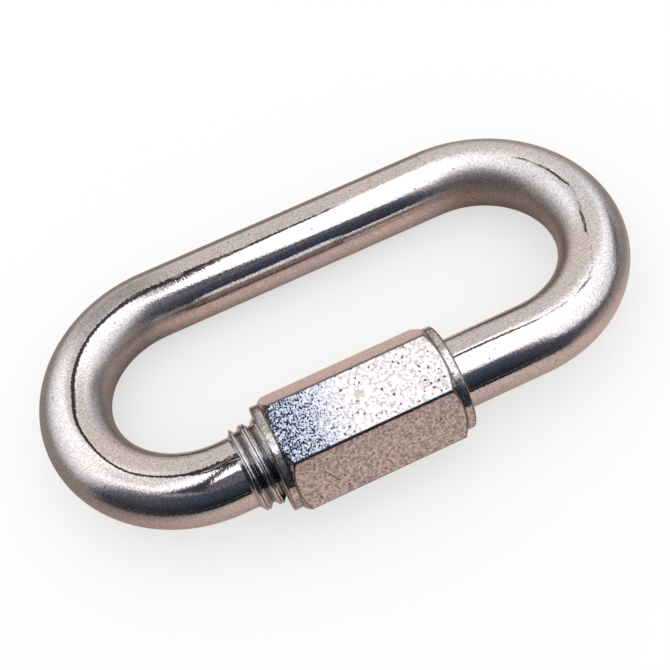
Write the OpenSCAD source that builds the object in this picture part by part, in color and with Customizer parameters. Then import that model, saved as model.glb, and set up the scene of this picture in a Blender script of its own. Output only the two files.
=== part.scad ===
// Chain quick link: an oval link bent from round rod, closed by a hexagonal sleeve nut.
// All lengths are in millimetres. The link lies as it comes to rest, on its far bar and on one
// corner of the nut, with its length along X and the nut on the -Y side.

/* [Rod] */
// Diameter of the round rod
rod_d = 8; // [6:0.5:10]
// Radius of both end bends, at the middle of the rod
bend_r = 13; // [12:0.5:18]
// Length of the straight sides, between the centres of the bends
straight_l = 36; // [35:0.5:48]

/* [Mouth and threaded stubs] */
// How much wider the mouth is than the rod that has to pass it
mouth_clear = 0.6; // [0.4:0.1:1.4]
// Plain rod between the left bend and the short thread
left_plain_l = 1.5; // [1:0.1:3]
// Length of the short thread, on the left stub
short_thread_l = 4.7; // [4:0.1:6]
// Length of the long thread, on the right stub
long_thread_l = 11; // [9:0.5:13]
// Height of the threads' pitch line above the plain rod
thread_rise = 0.35; // [0.25:0.05:0.5]
// Length over which a thread runs out into the plain rod
thread_runout = 0.5; // [0.3:0.1:0.9]
// Chamfer on the free end of each stub
stub_chamfer = 0.8; // [0.4:0.1:1.2]

/* [Sleeve nut] */
// Length of the nut
nut_l = 21.3; // [18:0.1:22]
// Wall of the nut between its bore and its flats
nut_wall = 1.57; // [1.4:0.01:2.5]
// Running clearance between the nut's bore and the thread bands
thread_clear = 0.08; // [0.02:0.01:0.1]
// Length of the round collar turned at each end
collar_l = 1.05; // [0.6:0.05:1.6]
// How far the collars are turned below the flats
collar_step = 0.05; // [0.02:0.01:0.2]
// Length of the crowned cut across the corners, from the collar to where it runs out
corner_cut_l = 0.7; // [0.5:0.1:1.5]
// Chamfer on the rim of each collar
rim_break = 0.15; // [0.1:0.05:0.4]
// Countersink at each mouth of the bore
countersink = 0.5; // [0.2:0.05:0.6]
// How much of the short thread the nut covers as the link lies
nut_grip = 1.4; // [1.2:0.1:4]
// Turn of the nut: from straight down to the corner that it lies on
corner_lean = 22.3; // [0:0.1:30]

/* [Hidden] */
$fn = 96;
steel_bar = [0.74, 0.72, 0.70];
steel_nut = [0.80, 0.77, 0.75];

// Rod and threads
rod_r = rod_d / 2;
band_r = rod_r + thread_rise;
mouth_w = rod_d + mouth_clear;
bend_x = straight_l / 2;
left_stub_l = left_plain_l + short_thread_l;
right_stub_l = straight_l - left_stub_l - mouth_w;

// Nut
bore_r = band_r + thread_clear;
flat_r = bore_r + nut_wall;
corner_r = flat_r / cos(30);
collar_r = flat_r - collar_step;
nut_x = -bend_x + left_stub_l - nut_grip;
cutter_over = 1;

// The ball that crowns each end: it meets the collar at collar_l and the corners at corner_cut_l
cut_end = collar_l + corner_cut_l;
crown_z = (cut_end^2 + corner_r^2 - collar_l^2 - collar_r^2) / (2 * corner_cut_l);
crown_r = sqrt((crown_z - collar_l)^2 + collar_r^2);

// How the link lies: the nut's corner and the far bar touch the surface
nut_axis_z = corner_r * cos(corner_lean);
tilt = asin((nut_axis_z - rod_r) / (2 * bend_r));
middle_z = (nut_axis_z + rod_r) / 2;
nut_reach = corner_r * cos(30 - corner_lean);
middle_y = (nut_reach - rod_r) / 2;

// Sets a flat link on the surface, with the middle of its box over the origin
module lying() {
    translate([0, middle_y, middle_z]) rotate([-tilt, 0, 0]) children();
}

// A revolved profile of [radius, distance] points, laid along X on the nut's bar
module turned_on_bar(x, profile) {
    translate([x, -bend_r, 0]) rotate([0, 90, 0]) rotate_extrude() polygon(profile);
}

// Half a turn of rod around one end of the link
module bend(x, start) {
    translate([x, 0, 0]) rotate([0, 0, start])
        rotate_extrude(angle = 180) translate([bend_r, 0]) circle(d = rod_d);
}

// Profile of a stub from its bend to its chamfered end, with the thread as a raised band
function stub_profile(length, thread_l) = [
    [0, 0],
    [rod_r, 0],
    [rod_r, length - thread_l],
    [band_r, length - thread_l + thread_runout],
    [band_r, length - stub_chamfer],
    [band_r - stub_chamfer, length],
    [0, length]
];

// Distances along the same profile, counted back from the other end
function reversed(profile, length) = [for (p = profile) [p[0], length - p[1]]];

// The round core of the nut, which shows as a collar with a broken rim at each end
function collar_profile() = [
    [0, 0],
    [collar_r - rim_break, 0],
    [collar_r, rim_break],
    [collar_r, nut_l - rim_break],
    [collar_r - rim_break, nut_l],
    [0, nut_l]
];

// The bore with a countersink at each mouth
function bore_profile() = [
    [0, -cutter_over],
    [bore_r + countersink + cutter_over, -cutter_over],
    [bore_r, countersink],
    [bore_r, nut_l - countersink],
    [bore_r + countersink + cutter_over, nut_l + cutter_over],
    [0, nut_l + cutter_over]
];

// The bent rod: far bar, two bends and the two threaded stubs that leave the mouth open
module link_body() {
    color(steel_bar) lying() union() {
        translate([-bend_x, bend_r, 0]) rotate([0, 90, 0]) cylinder(d = rod_d, h = straight_l);
        bend(-bend_x, 90);
        bend(bend_x, -90);
        turned_on_bar(-bend_x, stub_profile(left_stub_l, short_thread_l));
        turned_on_bar(bend_x - right_stub_l,
            reversed(stub_profile(right_stub_l, long_thread_l), right_stub_l));
    }
}

// What one crowning cut leaves: a ball at the end of the nut, and a wide bar on from its middle
module crown() {
    translate([0, 0, crown_z]) {
        sphere(r = crown_r);
        cylinder(r = crown_r, h = nut_l);
    }
}

// Hexagon bar with its corners crowned at both ends, standing on the end of the nut
module crowned_hexagon() {
    intersection() {
        cylinder(r = corner_r, h = nut_l, $fn = 6);
        crown();
        translate([0, 0, nut_l]) rotate([180, 0, 0]) crown();
    }
}

// The nut: hexagon bar turned at both ends and bored through
module sleeve_nut() {
    color(steel_nut) lying() difference() {
        union() {
            translate([nut_x, -bend_r, 0]) rotate([tilt - corner_lean, 0, 0]) rotate([0, 90, 0])
                crowned_hexagon();
            turned_on_bar(nut_x, collar_profile());
        }
        turned_on_bar(nut_x, bore_profile());
    }
}

link_body();
sleeve_nut();
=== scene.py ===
import math

import bpy
import numpy as np
from mathutils import Matrix, Vector


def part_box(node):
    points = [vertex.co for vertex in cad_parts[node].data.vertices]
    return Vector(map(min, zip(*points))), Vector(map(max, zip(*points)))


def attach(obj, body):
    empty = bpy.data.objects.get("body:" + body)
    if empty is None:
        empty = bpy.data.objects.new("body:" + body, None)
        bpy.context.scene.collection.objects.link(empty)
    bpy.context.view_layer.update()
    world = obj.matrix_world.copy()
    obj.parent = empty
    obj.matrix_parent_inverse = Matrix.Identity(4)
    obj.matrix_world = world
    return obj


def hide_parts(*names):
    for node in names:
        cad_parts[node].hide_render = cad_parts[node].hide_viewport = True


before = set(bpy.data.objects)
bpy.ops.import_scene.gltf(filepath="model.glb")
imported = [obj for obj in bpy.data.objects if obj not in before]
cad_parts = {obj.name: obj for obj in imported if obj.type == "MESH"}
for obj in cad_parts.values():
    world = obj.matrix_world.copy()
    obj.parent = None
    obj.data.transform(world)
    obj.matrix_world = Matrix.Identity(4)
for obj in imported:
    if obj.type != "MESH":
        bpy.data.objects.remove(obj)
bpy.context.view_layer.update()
print("frame loaded:", sorted(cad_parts))

mm = 0.001  # sizes below are millimetres, Blender works in metres


# The bent rod, as it was made: sizes that the frame's boxes don't give
rod = {
    "radius": 4.0,
    "mouth": 8.6,  # gap between the two threaded ends
    "leftStub": 6.2,  # bend to mouth on the short side
    "around": 112,  # mesh columns round the rod
    "step": 0.45,  # ring spacing on the plain rod
    "endRadius": 3.55,  # rod ends after their 45 degree chamfer
    "endEase": 0.15,  # softens the edge of each end face
    # fine dark seam that drawing left along the rod, widened in places into a painted reflection of
    # dark things: distance round the link from its left end, degrees from the top towards the inside,
    # half width and strength
    "seam": [(0, -7, 0.45, 0.65), (8, -7, 0.4, 0.65), (10, -6, 0.15, 0.8), (16, -5, 0.13, 0.85),
             (18, -2, 0.14, 0.9), (22, 5, 0.14, 0.85), (26, 8.5, 0.18, 0.9), (29, 13.5, 0.25, 1.0),
             (38, 13, 0.22, 1.0), (42, 14.5, 0.24, 0.85), (46, 14, 0.34, 0.7), (54, 13.5, 0.34, 0.7),
             (58, 13, 0.2, 0.6), (63, 12, 0.15, 0.85), (67, 11.5, 0.14, 0.9), (74, 10.5, 0.11, 0.25),
             (90, 10, 0.11, 0.25), (101, 9, 0.2, 0.7), (103, 5, 0.16, 0.5), (105, 12, 0.12, 0.3),
             (106.5, 15, 0.16, 0.65), (109.5, 14, 0.16, 0.65), (111, 8, 0.12, 0.3),
             (116, -12, 0.15, 0.5), (121, -8, 0.11, 0.5), (129, -6, 0.13, 0.8), (146, -5.5, 0.13, 0.8)],
    "seamBeside": 9,  # half widths beside the seam that the mesh keeps count of
    "seamSide": 1.0,  # radians round from the seam where its strength ends
    # share of satin that bending left, along the same way
    "satin": [(8, 0), (14, 0.6), (44, 0.6), (52, 0), (78, 0), (83, 0.5), (87, 1), (100, 1),
              (107, 0.6), (121, 0.6), (129, 0)],
    "satinBend": 0.6,  # share from which the inner side counts as a bend's
    "innerSide": (0.35, 0.9),  # where the inner side starts and is full, as minus the cosine
    # grey band beside the seam on the left bend: share along the same way, and by degrees
    "smear": [(33, 0), (40, 1), (46, 1), (52, 0)],
    "greyBandLean": [(-30, 0), (-12, 1), (6, 1), (12, 0)],
}

# Rolled right-hand thread: the metal is squeezed up, so its crests stand proud of the rod
thread = {
    "pitch": 1.5,
    "start": 0.12,  # where one crest crosses the rod's outer side, along X
    "rootLift": 0.20,
    "height": 0.52,
    "crestHalf": 0.14,  # half widths as shares of the pitch
    "rootFrom": 0.44,
    "flankStraight": 0.45,  # the rest of a flank is rounded
    "fold": 0.4,  # depth of the fold that rolling leaves along the crest, as a share of the height
    "foldHalf": 0.05,
    # how dark the painted shade in the fold along the crest is
    "foldShade": 0.9,
    "rootShadeTop": 0.25,  # height that the painted shade in the root reaches, as a share
    "shortLength": 4.7,
    "longLength": 11.0,
    "runOut": 0.5,
    "fineOver": 0.6,  # how far past the thread the fine rings go on
    "ringsPerPitch": 40,
}

# Hexagon sleeve nut, turned at both ends and tapped right through
nut = {
    "flat": 6.0,  # half the spanner size
    "corner": 0.5,  # rounding along the six corners
    "lean": 22.3,  # degrees from straight down to the corner that it lies on
    "collar": 1.05,
    "collarStep": 0.05,
    "crown": 0.7,  # length of the cut across the corners
    "rim": 0.15,
    "soft": 0.04,  # softened edges of the rim
    "edge": 0.06,  # softened edge where the cut meets a flat
    "mouthRadius": 4.93,  # outer edge of the countersink
    "threadClear": 0.10,
    "cornerColumns": 7,  # mesh columns round one corner and across one flat
    "flatColumns": 16,
    "crownRings": 9,
    "crownLast": 0.9,  # nearest that the last ring of the cut comes to the flat, as a share
    "barRings": (0.2, 0.6, 1.0),  # rings on the flats, as shares of the way to the middle
    "boreRings": 15,  # per pitch
    "flatShading": 90,  # how much the large faces lead the shading
    # dark lines painted along the edges, the rim and the corners
    "edgeLineStrength": 0.9,
    "rimLineStrength": 0.2,
    "cornerLineSpan": (0.4, 1.5),  # degrees on each side of a corner where the dark line is full and where it ends
    "upperFlat": 210.0,  # degrees from the lowest corner to the middle of the upper flat
    "upperHalf": (28.5, 30.5),  # degrees from its middle to its end
    "dullAndReflectedSpan": (2.5, 11.0),  # from the left end, where the dull patch and its painted reflection start to fade and end
    "pitsElsewhere": 0.7,  # size of the pits off the upper flat, as a share
}

nutLow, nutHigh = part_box("sleeve_nut")
rodLow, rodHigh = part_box("link_body")
nutAxis = Vector(((nutLow.y + nutHigh.y) / 2, (nutLow.z + nutHigh.z) / 2)) / mm
farAxis = Vector((rodHigh.y / mm - rod["radius"], rodLow.z / mm + rod["radius"]))
tilt = math.atan2(nutAxis.y - farAxis.y, farAxis.x - nutAxis.x)
middle = (nutAxis + farAxis) / 2
bendRadius = (farAxis - nutAxis).length / 2
bendX = rodHigh.x / mm - bendRadius - rod["radius"]
nutStart, nutEnd = nutLow.x / mm, nutHigh.x / mm


def layDown(points):
    # from the flat link, in millimetres, to the link as it lies, in metres
    x, y, z = np.moveaxis(points, -1, 0)
    yLying = middle.x + y * math.cos(tilt) + z * math.sin(tilt)
    zLying = middle.y - y * math.sin(tilt) + z * math.cos(tilt)
    return np.stack([x, yLying, zLying], -1) * mm


def smooth(value, low, high):
    share = np.clip((value - low) / (high - low), 0, 1)
    return share * share * (3 - 2 * share)


def threadLift(x, turn):
    # height of the thread over its root, from 0 to 1, along one right-hand helix,
    # and how deep the fold is there
    phase = ((x - thread["start"]) / thread["pitch"] + turn) % 1
    apart = np.minimum(phase, 1 - phase)
    rise = (thread["rootFrom"] - apart) / (thread["rootFrom"] - thread["crestHalf"])
    straight = thread["flankStraight"]
    flank = straight * np.clip(rise, 0, 1) + (1 - straight) * smooth(rise, 0, 1)
    fold = 1 - smooth(apart, 0, thread["foldHalf"])
    return flank - thread["fold"] * fold, fold


def ringMesh(name, rings, along, around, closed, marks):
    # rings[k, j] are points; along and around give each point's place on the surface in mm
    count, columns = rings.shape[:2]
    last = count if closed else count - 1
    k, j = np.meshgrid(np.arange(last), np.arange(columns), indexing="ij")
    kNext, jNext = (k + 1) % count, (j + 1) % columns
    quads = np.stack([k * columns + j, k * columns + jNext, kNext * columns + jNext,
                      kNext * columns + j], -1).reshape(-1, 4)
    spots = rings.reshape(-1, 3)
    faces = quads.tolist()
    if not closed:
        first, end = len(spots), len(spots) + 1
        spots = np.vstack([spots, rings[0].mean(0), rings[-1].mean(0)])
        lastRing = (count - 1) * columns
        for c in range(columns):
            d = (c + 1) % columns
            faces.append([first, d, c])
            faces.append([end, lastRing + c, lastRing + d])
    mesh = bpy.data.meshes.new(name)
    mesh.from_pydata(spots.tolist(), [], faces)
    for mark, values in marks.items():
        full = np.zeros(len(spots), np.float32)
        full[:count * columns] = values.reshape(-1)
        mesh.attributes.new(mark, "FLOAT", "POINT").data.foreach_set("value", full)
    u = np.append(along, along[-1] + (along[-1] - along[-2]))
    v = np.append(around, 2 * around[-1] - around[-2])
    cornerUv = np.stack([
        np.stack([u[k], u[k], u[k + 1], u[k + 1]], -1),
        np.stack([v[j], v[j + 1], v[j + 1], v[j]], -1)], -1).reshape(-1, 2)
    rest = len(mesh.loops) - len(cornerUv)
    cornerUv = np.vstack([cornerUv, np.zeros((rest, 2))])
    mesh.uv_layers.new(name="surfaceMm").uv.foreach_set("vector", cornerUv.astype(np.float32).ravel())
    mesh.polygons.foreach_set("use_smooth", np.ones(len(mesh.polygons), bool))
    mesh.validate()
    mesh.update()
    piece = bpy.data.objects.new(name, mesh)
    bpy.context.scene.collection.objects.link(piece)
    return piece


def rodPath():
    # stations from the left mouth end round the link to the right mouth end:
    # centre x and y, direction of the outer side, distance from the mouth or -1 off the stubs
    fine = thread["pitch"] / thread["ringsPerPitch"]
    leftEnd = -bendX + rod["leftStub"]
    rightEnd = leftEnd + rod["mouth"]

    def stub(end, bendSide, threaded):
        length = abs(bendSide - end)
        away = np.sign(bendSide - end)
        fineEnd = threaded + thread["fineOver"]
        places = np.r_[np.arange(0, fineEnd, fine), np.arange(fineEnd, length, rod["step"])]
        return [(end + away * d, -bendRadius, -math.pi / 2, d) for d in places]

    def bend(centre, start):
        turns = start - np.linspace(0, math.pi, int(math.pi * bendRadius / rod["step"]))
        return [(centre + bendRadius * math.cos(t), bendRadius * math.sin(t), t, -1) for t in turns]

    bar = np.linspace(-bendX, bendX, int(2 * bendX / rod["step"]))[1:-1]
    stations = stub(leftEnd, -bendX, thread["shortLength"])
    stations += bend(-bendX, -math.pi / 2)
    stations += [(x, bendRadius, math.pi / 2, -1) for x in bar]
    stations += bend(bendX, math.pi / 2)
    stations += stub(rightEnd, bendX, thread["longLength"])[::-1]
    return np.array(stations, float)


def makeRod():
    path = rodPath()
    x, y, side, fromEnd = (path[:, c:c + 1] for c in range(4))
    turn = np.arange(rod["around"]) / rod["around"] - 0.25  # the surface map closes on the underside
    angle = 2 * math.pi * turn[None, :]
    onStub = fromEnd >= 0
    length = np.where(x < 0, thread["shortLength"], thread["longLength"])
    envelope = np.where(onStub, smooth(length - fromEnd, 0, thread["runOut"]), 0)
    lift, fold = threadLift(x, turn[None, :] - 0.5)
    radius = rod["radius"] + envelope * (thread["rootLift"] + thread["height"] * lift)
    radius = np.where(onStub, np.minimum(radius, rod["endRadius"] + fromEnd), radius)
    outward = radius * np.cos(angle)
    flat = np.stack([x + outward * np.cos(side), y + outward * np.sin(side), radius * np.sin(angle)], -1)
    caps = []
    for end in (0, -1):
        centre = np.array([x[end, 0], y[end, 0], 0])
        inward = (rod["endRadius"] - rod["endEase"]) / radius[end][:, None]
        caps.append(centre + (flat[end] - centre) * inward)
    flat = np.concatenate([caps[:1], flat, caps[1:]])
    run = np.r_[0, np.cumsum(np.hypot(np.diff(x[:, 0]), np.diff(y[:, 0])))]
    along = np.r_[0, rod["endEase"] + run, 2 * rod["endEase"] + run[-1]]
    around = turn * 2 * math.pi * rod["radius"]

    def follow(table):
        # the columns of a table that starts with the distance round the link, at every ring
        places, *columns = np.array(table).T
        return [np.interp(run, places, column)[:, None] for column in columns]

    bent = follow(rod["satin"])[0] * np.ones_like(angle)
    inside = np.minimum(bent / rod["satinBend"], 1) * smooth(-np.cos(angle), *rod["innerSide"])
    # painted shade in the thread's roots and in the fold along each crest
    paintedDark = np.clip(1 - lift / thread["rootShadeTop"], 0, 1)
    groove = envelope * np.maximum(paintedDark, thread["foldShade"] * fold)
    # across the drawn seam and its painted reflection in half widths, and its strength, which is
    # none on the thread
    lean, half, depth = follow(rod["seam"])
    across = (angle - math.pi / 2 - np.radians(lean) + math.pi) % (2 * math.pi) - math.pi
    seam = np.clip(across * rod["radius"] / half, -rod["seamBeside"], rod["seamBeside"])
    seamed = depth * (1 - envelope) * (np.abs(across) < rod["seamSide"])
    greyBandRound = np.interp(np.degrees(angle) - 90, *np.array(rod["greyBandLean"]).T)
    marks = {"bent": bent, "inside": inside, "groove": groove, "seam": seam, "seamed": seamed,
             "smear": follow(rod["smear"])[0] * greyBandRound}
    padded = {name: np.concatenate([rows[:1], rows, rows[-1:]]) for name, rows in marks.items()}
    return ringMesh("link_rod", layDown(flat), along, around, False, padded)


def hexagonColumns():
    # angles round the nut, crowded at the rounded corners, and the bar's radius at each
    rounding = nut["corner"]
    core = (nut["flat"] - rounding) / math.cos(math.pi / 6)
    touch = math.atan2(rounding / 2, core + rounding * math.cos(math.pi / 6))
    near = np.linspace(-touch, touch, nut["cornerColumns"])
    flatPart = np.linspace(touch, math.pi / 3 - touch, nut["flatColumns"] + 2)[1:-1]
    sector = np.r_[near, flatPart]
    offset = np.minimum(np.abs(sector), np.abs(sector - math.pi / 3))
    bulge = np.sqrt(np.maximum(rounding ** 2 - (core * np.sin(offset)) ** 2, 0))
    rounded = core * np.cos(offset) + bulge
    straight = nut["flat"] / np.cos(math.pi / 6 - offset)
    radius = np.where(offset <= touch + 1e-9, rounded, straight)  # a hair over, for rounding errors
    angles = np.concatenate([sector + n * math.pi / 3 for n in range(6)])
    return angles, np.tile(radius, 6)


def makeNut():
    angles, bar = hexagonColumns()
    length = nutEnd - nutStart
    collar, rim, soft, edge = nut["collar"], nut["rim"], nut["soft"], nut["edge"]
    collarRadius = nut["flat"] - nut["collarStep"]
    cornerRadius = nut["flat"] / math.cos(math.pi / 6)
    cutEnd = collar + nut["crown"]
    crownZ = (cutEnd ** 2 + cornerRadius ** 2 - collar ** 2 - collarRadius ** 2) / (2 * nut["crown"])
    crownRadius = math.hypot(crownZ - collar, collarRadius)
    meets = crownZ - np.sqrt(crownRadius ** 2 - bar ** 2)  # where the cut reaches the bar
    one = np.ones_like(bar)
    # distance from the end, radius, and how dark the line painted there is
    edgeDark, rimDark = nut["edgeLineStrength"], nut["rimLineStrength"]
    ends = [
        (0.0, nut["mouthRadius"], 0.0),
        (0.0, collarRadius - rim - soft, 0.0),
        (soft, collarRadius - rim + soft, rimDark),
        (rim - soft, collarRadius - soft, rimDark),
        (rim + soft, collarRadius, edgeDark),
        (rim + 4 * soft, collarRadius, 0.0),
        (collar - 4 * soft, collarRadius, 0.0),
        (collar - soft, collarRadius, edgeDark),
    ]
    half = [(z * one, r * one, dirt) for z, r, dirt in ends]
    for share in np.linspace(0, 1, nut["crownRings"]):
        z = collar + (meets - collar) * share
        if share == 1:
            z = np.maximum(meets - edge, collar + (meets - collar) * nut["crownLast"])
        half.append((z, np.sqrt(crownRadius ** 2 - (z - crownZ) ** 2), edgeDark if share in (0, 1) else 0.0))
    half.append((meets + edge, bar, edgeDark))
    half.append((meets + 3 * edge, bar, 0.0))
    for share in nut["barRings"]:
        half.append((meets + (length / 2 - meets) * share, bar, 0.0))
    outer = half + [(length - z, r, dirt) for z, r, dirt in half[-2::-1]]
    # the nut's angle about X runs from the corner that it lies on
    turned = angles - math.pi / 2 - math.radians(nut["lean"]) + tilt
    bore = []
    for z in np.linspace(length, 0, int(length / thread["pitch"] * nut["boreRings"]))[1:-1]:
        # same helix as on the rod, counted in turns about X
        lift = threadLift(nutStart + z, -turned / (2 * math.pi))[0]
        wall = rod["radius"] + thread["rootLift"] + nut["threadClear"] + thread["height"] * lift
        mouth = nut["mouthRadius"] - min(z, length - z)
        bore.append((z * one, np.maximum(wall, mouth), 0.0))
    rings = outer + bore
    z, radius = (np.array([ring[n] for ring in rings]) for n in (0, 1))
    flat = np.stack([nutStart + z, -bendRadius + radius * np.cos(turned), radius * np.sin(turned)], -1)
    onBar = (radius >= nut["flat"] - 0.01) * 1.0  # all of the hexagon, and no collar
    fromUpper = np.abs((angles - math.radians(nut["upperFlat"]) + math.pi) % (2 * math.pi) - math.pi)
    upper = onBar * (1 - smooth(fromUpper, *np.radians(nut["upperHalf"])))[None, :]
    fromCorner = np.abs((angles + math.pi / 6) % (math.pi / 3) - math.pi / 6)
    corner = onBar * (1 - smooth(fromCorner, *np.radians(nut["cornerLineSpan"])))[None, :]
    marks = {
        "dull": upper * (1 - smooth(z, *nut["dullAndReflectedSpan"])),
        "bored": np.where(np.arange(len(rings)) < len(outer), 0.0, 1.0)[:, None] * one,
        "dirt": np.maximum(np.array([ring[2] for ring in rings])[:, None] * one, edgeDark * corner),
        "pitted": nut["pitsElsewhere"] + (1 - nut["pitsElsewhere"]) * upper,
    }
    return ringMesh("hexagon_nut", layDown(flat), z.mean(1), angles * nut["flat"], True, marks)


rodPiece = makeRod()
nutPiece = makeNut()
print("meshes made:", len(rodPiece.data.polygons), "rod faces,", len(nutPiece.data.polygons), "nut faces")
nutPiece.modifiers.new("flatShading", "WEIGHTED_NORMAL").weight = nut["flatShading"]

for piece, body, node, slotName in ((rodPiece, "link", "link_body", "rod_zinc"),
                                    (nutPiece, "nut", "sleeve_nut", "nut_zinc")):
    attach(piece, body)
    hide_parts(node)


def hexColour(code):
    channels = [int(code[i:i + 2], 16) / 255 for i in (1, 3, 5)]
    return [c / 12.92 if c <= 0.04045 else ((c + 0.055) / 1.055) ** 2.4 for c in channels] + [1]


def addNode(tree, kind, inputs=None, **settings):
    # several sockets named together, as in span, take their values in the same order
    node = tree.nodes.new(kind)
    for name, value in settings.items():
        setattr(node, name, value)
    for name, value in (inputs or {}).items():
        pairs = zip(name, value) if isinstance(name, tuple) else [(name, value)]
        for socket, entry in pairs:
            if isinstance(entry, bpy.types.NodeSocket):
                tree.links.new(entry, node.inputs[socket])
            else:
                node.inputs[socket].default_value = entry
    return node


span = ("From Min", "From Max", "To Min", "To Max")  # the limits of a Map Range node


def newMaterial(name):
    material = bpy.data.materials.new(name)
    material.use_nodes = True
    material.node_tree.nodes.clear()
    return material, material.node_tree


def platedSkin(tree, finish):
    # what both plates share: clouds of warm and cool silver, broken up by fine blotches
    place = addNode(tree, "ShaderNodeTexCoord").outputs["Object"]
    cloud, blotch, grain = (
        addNode(tree, "ShaderNodeTexNoise", {"Vector": place, "Scale": 1 / (finish[size] * mm),
                                             "Detail": finish[detail]}).outputs["Fac"]
        for size, detail in (("cloudMm", "cloudDetail"), ("blotchMm", "blotchDetail"),
                             ("grainMm", "grainDetail")))
    tone = addNode(tree, "ShaderNodeMapRange", {"Value": cloud, span: finish["cloudEdge"]}).outputs[0]
    plain = addNode(tree, "ShaderNodeMix", {0: tone, 6: hexColour(finish["warm"]),
                                            7: hexColour(finish["cool"])}, data_type="RGBA").outputs[2]
    shade = addNode(tree, "ShaderNodeMapRange", {"Value": blotch, span: finish["blotchTone"]}).outputs[0]
    mottled = addNode(tree, "ShaderNodeMix", {0: 1.0, 6: plain, 7: shade}, data_type="RGBA",
                      blend_type="MULTIPLY").outputs[2]
    return place, grain, mottled, blotch


# Bright zinc plate on drawn steel rod: a nearly neutral silver mirror with fine drawn lines along
# it, and a duller, grainy skin where bending stretched the plate, with painted shade on the inner
# side. Painted shade keeps the thread's roots dark. Settings of four numbers are limits in the
# order of span.
rodFinish = {
    "warm": "#D3CCCA",
    "cool": "#CACBCD",
    "cloudMm": 7.0,
    "cloudDetail": 3.0,
    "cloudEdge": (0.35, 0.65),  # where the clouds turn from warm to cool
    "blotchMm": 0.22,
    "blotchDetail": 4.0,
    "blotchTone": (0.36, 0.64, 0.72, 1.12),
    "grainMm": 0.24,
    "grainDetail": 1.0,
    "innerShade": "#BEB7B2",  # painted shade on the inner side of a bend
    "smear": "#C4C8C9",
    "speck": "#3B3633",
    "speckMm": 1.5,
    "speckEdge": (0.05, 0.09, 0.8, 0.0),
    # dark seam colour, also used for the seam's painted reflection of dark things
    "seam": "#151418",
    "seamGapMm": (2.0, 0.2),  # the seam comes and goes in streaks this long and wide
    "seamGapDetail": 2.0,
    "seamRagged": 1.6,  # how far grain shifts its edges, in half widths
    "seamEdge": (0.7, 1.2, 1.0, 0.0),
    "seamKept": (0.85, 1.15, 0.0, 0.95),
    # painted shade in the thread's roots
    "rootShade": "#2E2926",
    "rootShadeShare": 0.85,
    "lineMm": (9.0, 0.16),  # drawn lines are finer on real rod, this is the finest that shows
    "lineDetail": 3.0,
    "lineDepthMm": 0.008,
    "lineStrength": 0.4,
    "peelDepthMm": 0.024,
    "peelStrength": (0.25, 0.75),  # on straight rod and on the dullest bend
    "rough": (0.08, 0.32),  # in the same way
    "roughInside": 0.12,  # more on the inner side of a bend
    "roughGrain": 0.06,  # how far grain and drawn lines vary it
    "roughLines": 0.04,
}


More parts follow.
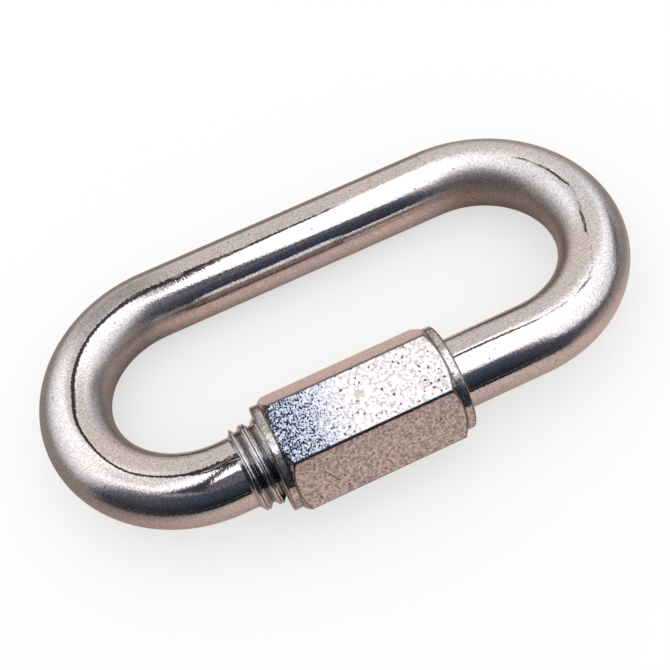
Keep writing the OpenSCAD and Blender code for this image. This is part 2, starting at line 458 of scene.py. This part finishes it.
def zincRod():
    material, tree = newMaterial("bright zinc plate on drawn rod")
    f = rodFinish
    place, grain, mottled, _ = platedSkin(tree, f)
    surface = addNode(tree, "ShaderNodeUVMap", uv_map="surfaceMm").outputs["UV"]
    bent, inside, groove, seam, seamed, smear = (
        addNode(tree, "ShaderNodeAttribute", attribute_name=mark).outputs["Fac"]
        for mark in ("bent", "inside", "groove", "seam", "seamed", "smear"))
    streaks = []
    for (length, width), detail in ((f["lineMm"], f["lineDetail"]), (f["seamGapMm"], f["seamGapDetail"])):
        stretched = addNode(tree, "ShaderNodeVectorMath", {0: surface, 1: (1 / length, 1 / width, 1)},
                            operation="MULTIPLY").outputs[0]
        streaks.append(addNode(tree, "ShaderNodeTexNoise", {"Vector": stretched, "Scale": 1.0,
                                                            "Detail": detail}).outputs["Fac"])
    drawn, gaps = streaks
    # colour, over the mottled plate: painted shade on the inner sides, the grey band, specks,
    # the seam with its painted reflection, and painted shade in the thread roots
    # painted shade: the inner side of each bend is darkened
    innerShade = addNode(tree, "ShaderNodeMath", {0: inside, 1: bent}, operation="MULTIPLY").outputs[0]
    innerShaded = addNode(tree, "ShaderNodeMix", {0: innerShade, 6: mottled, 7: hexColour(f["innerShade"])},
                   data_type="RGBA", blend_type="MULTIPLY").outputs[2]
    # a cool grey band beside the seam on the left bend
    greyBanded = addNode(tree, "ShaderNodeMix", {0: smear, 6: innerShaded, 7: hexColour(f["smear"])},
                      data_type="RGBA", blend_type="MULTIPLY").outputs[2]
    specks = addNode(tree, "ShaderNodeTexVoronoi", {"Vector": place, "Scale": 1 / (f["speckMm"] * mm)})
    speck = addNode(tree, "ShaderNodeMapRange", {"Value": specks.outputs["Distance"],
                                                 span: f["speckEdge"]}).outputs[0]
    specked = addNode(tree, "ShaderNodeMix", {0: speck, 6: greyBanded, 7: hexColour(f["speck"])},
                      data_type="RGBA").outputs[2]
    ragged = addNode(tree, "ShaderNodeMath", {0: grain, 1: f["seamRagged"], 2: seam},
                     operation="MULTIPLY_ADD").outputs[0]
    offSeam = addNode(tree, "ShaderNodeMath", {0: ragged, 1: f["seamRagged"] / 2},
                      operation="SUBTRACT").outputs[0]
    fromSeam = addNode(tree, "ShaderNodeMath", {0: offSeam}, operation="ABSOLUTE").outputs[0]
    inSeam = addNode(tree, "ShaderNodeMapRange", {"Value": fromSeam, span: f["seamEdge"]}).outputs[0]
    whole = addNode(tree, "ShaderNodeMath", {0: gaps, 1: seamed}, operation="ADD").outputs[0]
    kept = addNode(tree, "ShaderNodeMapRange", {"Value": whole, span: f["seamKept"]}).outputs[0]
    # the seam, and where it widens, a painted reflection of dark things
    seamAndReflectionDark = addNode(tree, "ShaderNodeMath", {0: inSeam, 1: kept}, operation="MULTIPLY").outputs[0]
    lined = addNode(tree, "ShaderNodeMix", {0: seamAndReflectionDark, 6: specked, 7: hexColour(f["seam"])},
                    data_type="RGBA").outputs[2]
    # painted shade darkens the thread's roots
    paintedDark = addNode(tree, "ShaderNodeMath", {0: groove, 1: f["rootShadeShare"]},
                     operation="MULTIPLY").outputs[0]
    colour = addNode(tree, "ShaderNodeMix", {0: paintedDark, 6: lined, 7: hexColour(f["rootShade"])},
                     data_type="RGBA").outputs[2]
    # roughness: by bending, then varied about that by grain and drawn lines
    varied = (f["roughGrain"] + f["roughLines"]) / 2
    limits = (0.0, 1.0) + tuple(level - varied for level in f["rough"])
    rough = addNode(tree, "ShaderNodeMapRange", {"Value": bent, span: limits}).outputs[0]
    for share, amount in ((inside, f["roughInside"]), (grain, f["roughGrain"]), (drawn, f["roughLines"])):
        rough = addNode(tree, "ShaderNodeMath", {0: share, 1: amount, 2: rough},
                        operation="MULTIPLY_ADD").outputs[0]
    lines = addNode(tree, "ShaderNodeBump", {"Height": drawn, "Strength": f["lineStrength"],
                                             "Distance": f["lineDepthMm"] * mm}).outputs[0]
    depth = addNode(tree, "ShaderNodeMapRange", {"Value": bent,
                                                 span: (0.0, 1.0) + f["peelStrength"]}).outputs[0]
    peel = addNode(tree, "ShaderNodeBump", {"Height": grain, "Strength": depth, "Normal": lines,
                                            "Distance": f["peelDepthMm"] * mm}).outputs[0]
    shader = addNode(tree, "ShaderNodeBsdfPrincipled", {"Base Color": colour, "Metallic": 1.0,
                                                        "Roughness": rough, "Normal": peel})
    addNode(tree, "ShaderNodeOutputMaterial", {"Surface": shader.outputs[0]})
    return material


# Bright zinc plate on hexagon bar: a little darker than the rod, with small dark pits, a mottled
# skin, one scratch, and at the left end of the upper flat a rougher patch with a painted reflection
# of dark things: a pale bluish haze with dark dots
nutFinish = {
    "warm": "#C9C2BF",
    "cool": "#C4C2C3",
    "cloudMm": 6.0,
    "cloudDetail": 3.0,
    "cloudEdge": (0.35, 0.65),
    "blotchMm": 0.34,
    "blotchDetail": 3.0,
    "blotchTone": (0.38, 0.62, 0.52, 1.14),
    "grainMm": 0.22,
    "grainDetail": 1.0,
    # painted reflection on the upper flat's left end: a pale haze and dark dots
    "reflectedPale": "#A4B7CE",
    "reflectedPaleShare": 0.7,
    "reflectedDark": "#111824",
    "reflectedDarkShare": 0.58,
    "reflectedDotMm": 0.13,
    "reflectedDotEdge": (0.0, 0.1, 0.0, 0.97),
    "pit": "#2C2826",
    "pitMm": 0.56,
    "pitSize": (0.25, 0.8, 0.0, 0.30),
    "pitEdge": (0.0, 0.06, 0.0, 0.9),
    "scratchAt": (5.0, 28.4),  # along the nut from its left end, and round it from its lowest corner
    "scratchSize": (1.4, 0.05),
    "scratchTurn": 63.6,
    "scratchEdge": (0.7, 1.1, 0.9, 0.0),
    "edgeLineBreak": (0.35, 0.55, 0.45, 0.95),
    # painted shade in the bore
    "boreShade": 0.6,
    "rough": 0.16,
    "roughGrain": 0.12,  # how far grain varies it
    "roughDull": 0.15,  # more in the dull patch
    "peelDepthMm": 0.025,
    "peelStrength": 0.5,
    "dentDepthMm": 0.05,
    "dentStrength": 0.6,
}


def zincNut():
    material, tree = newMaterial("bright zinc plate on hexagon bar")
    f = nutFinish
    place, grain, mottled, blotch = platedSkin(tree, f)
    surface = addNode(tree, "ShaderNodeUVMap", uv_map="surfaceMm").outputs["UV"]
    dull, bored, dirt, pitted = (
        addNode(tree, "ShaderNodeAttribute", attribute_name=mark).outputs["Fac"]
        for mark in ("dull", "bored", "dirt", "pitted"))
    reflectedDots, pits = (
        addNode(tree, "ShaderNodeTexVoronoi", {"Vector": place, "Scale": 1 / (f[size] * mm)}).outputs
        for size in ("reflectedDotMm", "pitMm"))
    # painted reflection of dark things at the left end of the upper flat: a pale bluish haze with dark
    # dots in it
    paleReflectedShare = addNode(tree, "ShaderNodeMath", {0: dull, 1: f["reflectedPaleShare"]},
                   operation="MULTIPLY").outputs[0]
    paleReflected = addNode(tree, "ShaderNodeMix", {0: paleReflectedShare, 6: mottled, 7: hexColour(f["reflectedPale"])},
                   data_type="RGBA").outputs[2]
    share = addNode(tree, "ShaderNodeMath", {0: dull, 1: f["reflectedDarkShare"]},
                    operation="MULTIPLY").outputs[0]
    under = addNode(tree, "ShaderNodeMath", {0: share, 1: reflectedDots["Color"]},
                    operation="SUBTRACT").outputs[0]
    reflectedDot = addNode(tree, "ShaderNodeMapRange", {"Value": under, span: f["reflectedDotEdge"]}).outputs[0]
    reflectedOnFlat = addNode(tree, "ShaderNodeMix", {0: reflectedDot, 6: paleReflected, 7: hexColour(f["reflectedDark"])},
                      data_type="RGBA").outputs[2]
    # pits of many sizes and the scratch
    pitSize = addNode(tree, "ShaderNodeMapRange", {"Value": pits["Color"], span: f["pitSize"]}).outputs[0]
    pitWide = addNode(tree, "ShaderNodeMath", {0: pitSize, 1: pitted}, operation="MULTIPLY").outputs[0]
    pitDepth = addNode(tree, "ShaderNodeMath", {0: pitWide, 1: pits["Distance"]},
                       operation="SUBTRACT").outputs[0]
    pit = addNode(tree, "ShaderNodeMapRange", {"Value": pitDepth, span: f["pitEdge"]}).outputs[0]
    drawnFrom = addNode(tree, "ShaderNodeMapping", {
        "Vector": surface,
        "Location": f["scratchAt"] + (0,),
        "Rotation": (0, 0, math.radians(f["scratchTurn"])),
        "Scale": f["scratchSize"] + (1,),
    }, vector_type="TEXTURE").outputs[0]
    fromScratch = addNode(tree, "ShaderNodeVectorMath", {0: drawnFrom},
                          operation="LENGTH").outputs["Value"]
    scratch = addNode(tree, "ShaderNodeMapRange", {"Value": fromScratch,
                                                   span: f["scratchEdge"]}).outputs[0]
    marks = addNode(tree, "ShaderNodeMath", {0: pit, 1: scratch}, operation="MAXIMUM").outputs[0]
    marked = addNode(tree, "ShaderNodeMix", {0: marks, 6: reflectedOnFlat, 7: hexColour(f["pit"])},
                     data_type="RGBA").outputs[2]
    # dark lines painted along the edges, and painted shade in the bore
    edgeLinePatches = addNode(tree, "ShaderNodeMapRange", {"Value": blotch, span: f["edgeLineBreak"]}).outputs[0]
    edgeDark = addNode(tree, "ShaderNodeMath", {0: dirt, 1: edgeLinePatches}, operation="MULTIPLY").outputs[0]
    # painted shade darkens the bore
    inBore = addNode(tree, "ShaderNodeMath", {0: bored, 1: f["boreShade"]},
                     operation="MULTIPLY").outputs[0]
    paintedDark = addNode(tree, "ShaderNodeMath", {0: inBore, 1: edgeDark}, operation="MAXIMUM").outputs[0]
    # the pit colour also paints the dark edge lines and the shade in the bore
    colour = addNode(tree, "ShaderNodeMix", {0: paintedDark, 6: marked, 7: hexColour(f["pit"])},
                     data_type="RGBA").outputs[2]
    rough = f["rough"] - f["roughGrain"] / 2
    for part, amount in ((grain, f["roughGrain"]), (dull, f["roughDull"])):
        rough = addNode(tree, "ShaderNodeMath", {0: part, 1: amount, 2: rough},
                        operation="MULTIPLY_ADD").outputs[0]
    peel = addNode(tree, "ShaderNodeBump", {"Height": grain, "Strength": f["peelStrength"],
                                            "Distance": f["peelDepthMm"] * mm}).outputs[0]
    dents = addNode(tree, "ShaderNodeBump", {"Height": marks, "Strength": f["dentStrength"],
                                             "Distance": f["dentDepthMm"] * mm, "Normal": peel},
                    invert=True).outputs[0]
    shader = addNode(tree, "ShaderNodeBsdfPrincipled", {"Base Color": colour, "Metallic": 1.0,
                                                        "Roughness": rough, "Normal": dents})
    addNode(tree, "ShaderNodeOutputMaterial", {"Surface": shader.outputs[0]})
    return material


rodPiece.data.materials.append(zincRod())
nutPiece.data.materials.append(zincNut())
print("finishes made")


# Plain studio: a pale floor in a white surround, and a light tent that only the metal sees, turned
# to the picture. The tent is bright overhead and dim at the table, its front is open to a dark room
# under a slanting valance, a pale panel leans over its back with a boom beside it, and the warm
# grey table top is what the metal's undersides show.
studio = {
    "floorColour": "#F1F0EF",
    "floorGlow": 0.6,
    "floorSize": 4000.0,
    "horizon": 1.0,  # light of the surround, low down and overhead
    "zenith": 1.25,
    "skyRise": (0.25, 0.9),  # where it starts and stops to rise, as sines
    "turn": -46.0,  # degrees from the link's length to the tent's length
    "tentRadius": 700.0,
    "tentTop": 89.0,  # degrees up to the flat cap
    "tentRows": 18,
    "tentColumns": 48,
    "cloth": "#F7F3F6",
    "clothLevels": (0.28, 2.4),  # at the table and overhead
    "clothRise": 0.75,  # below 1 the light rises faster near the table
    "front": 283.5,  # direction of the open front, in the tent
    "frontHalf": (50.5, 66.5),  # half its width, to the room's dark and to the cloth's full light
    "frontTop": (46.0, 59.0),  # its height in degrees, in the same way
    "room": "#AFBBDE",
    "roomLevels": (0.032, 0.176),
    "roomRise": (0.05, 0.6),  # where its light starts and stops to rise, as sines
    "sillRadius": 520.0,
    # dark sill that runs on to the right, low down: direction, foot and top in degrees
    "sill": [(335, -1, 40), (345, -1, 34), (0, -1, 25), (20, -1, 12), (38, 0, 11), (50, 5, 21),
             (62, 7, 23)],
    "sillLevel": 0.112,
    "sillPale": [(62, 7, 23), (74, 12, 18)],  # its paler end
    "sillPaleColour": "#D0C2B9",
    "sillPaleLevel": 0.224,
    "roof": 300.0,  # height of the valance, the boom, the dim cloth and the panel's upper part
    "valance": [(45, -141), (48, -105), (60, -80), (100, -82), (163, -104), (213, -99), (266, -86),
                (314, -102), (253, -212), (165, -286), (85, -319)],
    "valanceColour": "#75737A",
    "boom": [(-92, 40), (-60, 52), (-22, 12), (5, -50), (25, -95), (52, -150), (95, -240),
             (-95, -240), (-45, -150), (-18, -95), (-25, -50), (-45, 5)],
    "boomColour": "#363B48",
    "dimRoof": [(-235, -120), (-90, -110), (-80, 36), (-235, 36)],  # cloth that takes less light
    "dimLevel": 1.16,
    "panel": "#FFF4ED",
    "panelLevel": 0.94,
    "panelTop": [(-165, 45), (-80, 45), (-80, 215), (90, 275), (-400, 200), (-225, 150)],
    "panelBack": [(90, 275, 300), (-400, 200, 300), (-600, 180, 0), (-129, 483, 0)],
    "tableReach": 490.0,
    "tableHeight": 0.02,  # over the floor, which it hides from the metal
    "tablePale": "#E0C9BF",
    "tableDim": "#998A83",
    "tablePool": (6.0, -20.0),  # middle of the painted pool of light on it
    "tableFade": (27.0, 50.0),
    "tableBounce": "#EDD0C6",  # painted warm bounce light between the bars, which the nut's inner flat shows
    "bounceAt": (-1.0, 3.0),
    "bounceLong": 2.8,  # how many times longer than wide
    "bounceFade": (3.0, 8.0),
    "feltStart": 62.0,  # dark front of the table: distance where it starts, and directions
    "feltWays": [234, 250, 268, 291, 314, 337, 355],
    "feltHeight": 0.04,
    "feltLevel": 0.048,
}


def polar(degrees, radius):
    return radius * math.cos(math.radians(degrees)), radius * math.sin(math.radians(degrees))


def card(name, corners, material, turned=True):
    turn = math.radians(studio["turn"]) if turned else 0.0
    spots = [(u * math.cos(turn) - w * math.sin(turn), u * math.sin(turn) + w * math.cos(turn), z)
             for u, w, z in corners]
    mesh = bpy.data.meshes.new(name)
    mesh.from_pydata([[c * mm for c in spot] for spot in spots], [], [list(range(len(spots)))])
    mesh.materials.append(material)
    plane = bpy.data.objects.new(name, mesh)
    bpy.context.scene.collection.objects.link(plane)
    return plane


def square(half, height):
    return [(a * half, b * half, height) for a, b in ((-1, -1), (1, -1), (1, 1), (-1, 1))]


def paint(name, colour, strength):
    # an even glow, the same from every side
    material, tree = newMaterial(name)
    shader = addNode(tree, "ShaderNodeEmission", {"Color": hexColour(colour), "Strength": strength})
    addNode(tree, "ShaderNodeOutputMaterial", {"Surface": shader.outputs[0]})
    return material


def tentCloth():
    # white cloth that glows more the higher it is, with the dark room in its open front
    material, tree = newMaterial("tent cloth")
    s = studio
    spot = addNode(tree, "ShaderNodeNewGeometry").outputs["Position"]
    away = addNode(tree, "ShaderNodeVectorMath", {0: spot}, operation="NORMALIZE").outputs[0]
    height = addNode(tree, "ShaderNodeSeparateXYZ", {0: away}).outputs["Z"]
    risen = addNode(tree, "ShaderNodeMath", {0: height, 1: s["clothRise"]}, operation="POWER").outputs[0]
    level = addNode(tree, "ShaderNodeMapRange", {"Value": risen,
                                                 span: (0.0, 1.0) + s["clothLevels"]}).outputs[0]
    cloth = addNode(tree, "ShaderNodeEmission", {"Color": hexColour(s["cloth"]), "Strength": level})
    level = addNode(tree, "ShaderNodeMapRange", {"Value": height,
                                                 span: s["roomRise"] + s["roomLevels"]}).outputs[0]
    room = addNode(tree, "ShaderNodeEmission", {"Color": hexColour(s["room"]), "Strength": level})
    flattened = addNode(tree, "ShaderNodeVectorMath", {0: away, 1: (1, 1, 0)},
                        operation="MULTIPLY").outputs[0]
    heading = addNode(tree, "ShaderNodeVectorMath", {0: flattened}, operation="NORMALIZE").outputs[0]
    front = polar(s["front"] + s["turn"], 1) + (0,)
    toFront = addNode(tree, "ShaderNodeVectorMath", {0: heading, 1: front},
                      operation="DOT_PRODUCT").outputs["Value"]
    near, far = (math.cos(math.radians(a)) for a in s["frontHalf"])
    across = addNode(tree, "ShaderNodeMapRange", {"Value": toFront, span: (far, near)},
                     interpolation_type="SMOOTHSTEP").outputs[0]
    low, high = (math.sin(math.radians(a)) for a in s["frontTop"])
    under = addNode(tree, "ShaderNodeMapRange", {"Value": height, span: (high, low)},
                    interpolation_type="SMOOTHSTEP").outputs[0]
    opening = addNode(tree, "ShaderNodeMath", {0: across, 1: under}, operation="MULTIPLY").outputs[0]
    both = addNode(tree, "ShaderNodeMixShader", {0: opening, 1: cloth.outputs[0], 2: room.outputs[0]})
    addNode(tree, "ShaderNodeOutputMaterial", {"Surface": both.outputs[0]})
    return material


def palePaper():
    # white to the eye, and it keeps a light shadow
    material, tree = newMaterial("pale paper")
    paper = addNode(tree, "ShaderNodeBsdfDiffuse", {"Color": hexColour(studio["floorColour"])})
    white = addNode(tree, "ShaderNodeEmission", {"Color": (1, 1, 1, 1), "Strength": 1.0})
    path = addNode(tree, "ShaderNodeLightPath").outputs
    seen = path["Is Camera Ray"]
    for other in ("Is Glossy Ray", "Is Transmission Ray"):
        seen = addNode(tree, "ShaderNodeMath", {0: seen, 1: path[other]}, operation="MAXIMUM").outputs[0]
    lit = addNode(tree, "ShaderNodeMath", {0: seen, 1: studio["floorGlow"]},
                  operation="MULTIPLY").outputs[0]
    both = addNode(tree, "ShaderNodeMixShader", {0: lit, 1: paper.outputs[0], 2: white.outputs[0]})
    addNode(tree, "ShaderNodeOutputMaterial", {"Surface": both.outputs[0]})
    return material


def tableTop():
    # matt paint with a painted pool of light at the nut, and painted warm bounce light between
    # the bars
    material, tree = newMaterial("warm grey table top")
    s = studio
    spot = addNode(tree, "ShaderNodeNewGeometry").outputs["Position"]
    pool = addNode(tree, "ShaderNodeVectorMath", {0: spot, 1: [v * mm for v in s["tablePool"]] + [0]},
                   operation="DISTANCE").outputs["Value"]
    # painted pool of light: pale near the nut, dim further off
    fade = addNode(tree, "ShaderNodeMapRange", {"Value": pool,
                                                span: [v * mm for v in s["tableFade"]]}).outputs[0]
    plain = addNode(tree, "ShaderNodeMix", {0: fade, 6: hexColour(s["tablePale"]),
                                            7: hexColour(s["tableDim"])}, data_type="RGBA").outputs[2]
    x, y = s["bounceAt"]
    squeezed = addNode(tree, "ShaderNodeVectorMath", {0: spot, 1: (1 / s["bounceLong"], 1, 1)},
                       operation="MULTIPLY").outputs[0]
    bounceSpot = (x / s["bounceLong"] * mm, y * mm, 0)
    fromBounce = addNode(tree, "ShaderNodeVectorMath", {0: squeezed, 1: bounceSpot},
                       operation="DISTANCE").outputs["Value"]
    limits = [v * mm for v in s["bounceFade"]] + [1.0, 0.0]
    # painted warm bounce light between the bars
    warm = addNode(tree, "ShaderNodeMapRange", {"Value": fromBounce, span: limits}).outputs[0]
    colour = addNode(tree, "ShaderNodeMix", {0: warm, 6: plain, 7: hexColour(s["tableBounce"])},
                     data_type="RGBA").outputs[2]
    shader = addNode(tree, "ShaderNodeBsdfDiffuse", {"Color": colour})
    addNode(tree, "ShaderNodeOutputMaterial", {"Surface": shader.outputs[0]})
    return material


def tent():
    rows, columns, radius = studio["tentRows"], studio["tentColumns"], studio["tentRadius"] * mm
    ways = np.linspace(0, 2 * math.pi, columns + 1)[:-1]
    spots = [(radius * math.cos(e) * math.cos(a), radius * math.cos(e) * math.sin(a), radius * math.sin(e))
             for e in np.linspace(0, math.radians(studio["tentTop"]), rows) for a in ways]
    faces = [[r * columns + c, r * columns + (c + 1) % columns, (r + 1) * columns + (c + 1) % columns,
              (r + 1) * columns + c] for r in range(rows - 1) for c in range(columns)]
    faces.append([(rows - 1) * columns + c for c in range(columns)])
    mesh = bpy.data.meshes.new("light_tent")
    mesh.from_pydata(spots, [], faces)
    mesh.materials.append(tentCloth())
    dome = bpy.data.objects.new("light_tent", mesh)
    bpy.context.scene.collection.objects.link(dome)
    return dome


def whiteSurround():
    world = bpy.data.worlds.new("white surround")
    bpy.context.scene.world = world
    world.use_nodes = True
    tree = world.node_tree
    tree.nodes.clear()
    direction = addNode(tree, "ShaderNodeTexCoord").outputs["Generated"]
    height = addNode(tree, "ShaderNodeSeparateXYZ", {0: direction}).outputs["Z"]
    limits = studio["skyRise"] + (studio["horizon"], studio["zenith"])
    level = addNode(tree, "ShaderNodeMapRange", {"Value": height, span: limits}).outputs[0]
    sky = addNode(tree, "ShaderNodeBackground", {"Color": (1, 1, 1, 1), "Strength": level})
    addNode(tree, "ShaderNodeOutputWorld", {"Surface": sky.outputs[0]})


def buildStudio():
    s = studio
    reach = s["tableReach"]
    card("floor", square(s["floorSize"] / 2, 0), palePaper())
    panel = paint("pale panel", s["panel"], s["panelLevel"])

    def onRoof(name, corners, material):
        return card(name, [(u, w, s["roof"]) for u, w in corners], material)

    front = [polar(a, s["feltStart"]) + (s["feltHeight"],) for a in s["feltWays"]]
    back = [polar(a, reach) + (s["feltHeight"],) for a in s["feltWays"][::-1]]
    hidden = [
        tent(),
        card("table_top", square(reach, s["tableHeight"]), tableTop(), False),
        onRoof("panel_top", s["panelTop"], panel),
        card("panel_back", s["panelBack"], panel),
        onRoof("valance", s["valance"], paint("grey valance", s["valanceColour"], 1.0)),
        onRoof("boom", s["boom"], paint("dark boom", s["boomColour"], 1.0)),
        onRoof("dim_roof", s["dimRoof"], paint("dim cloth", s["cloth"], s["dimLevel"])),
        card("table_front", front + back, paint("dark felt", s["room"], s["feltLevel"])),
    ]
    for name, colour, level in (("sill", s["room"], s["sillLevel"]),
                                ("sillPale", s["sillPaleColour"], s["sillPaleLevel"])):
        felt = paint("sill felt", colour, level)
        edges = [[polar(a, s["sillRadius"]) + (s["sillRadius"] * math.tan(math.radians(e)),)
                  for e in (foot, top)] for a, foot, top in s[name]]
        for n, (here, there) in enumerate(zip(edges, edges[1:])):
            hidden.append(card("%s_%d" % (name, n), [here[0], there[0], there[1], here[1]], felt))
    for plane in hidden:
        plane.visible_camera = False
        plane.visible_diffuse = False
        plane.visible_shadow = False
    whiteSurround()


buildStudio()
print("studio set")


# The camera of the photo, found from the link's outline
shot = {
    "place": (-16.756, -70.207, 125.434),
    "aim": (-0.804, -0.162, 5.2),
    "roll": -13.203,
    "lens": 67.08,
    "sensor": 36.0,
    "nearest": 5.0,  # nothing closer than this is drawn
}


def setCamera():
    camera = bpy.data.objects.new("camera", bpy.data.cameras.new("camera"))
    bpy.context.scene.collection.objects.link(camera)
    place, aim = Vector(shot["place"]) * mm, Vector(shot["aim"]) * mm
    turned = (aim - place).to_track_quat("-Z", "Y").to_matrix().to_4x4()
    rolled = Matrix.Rotation(math.radians(shot["roll"]), 4, "Z")
    camera.matrix_world = Matrix.Translation(place) @ turned @ rolled
    camera.data.lens = shot["lens"]
    camera.data.sensor_width = shot["sensor"]
    camera.data.clip_start = shot["nearest"] * mm
    bpy.context.scene.camera = camera


setCamera()
bpy.context.scene.view_settings.view_transform = "Standard"
print("camera set")
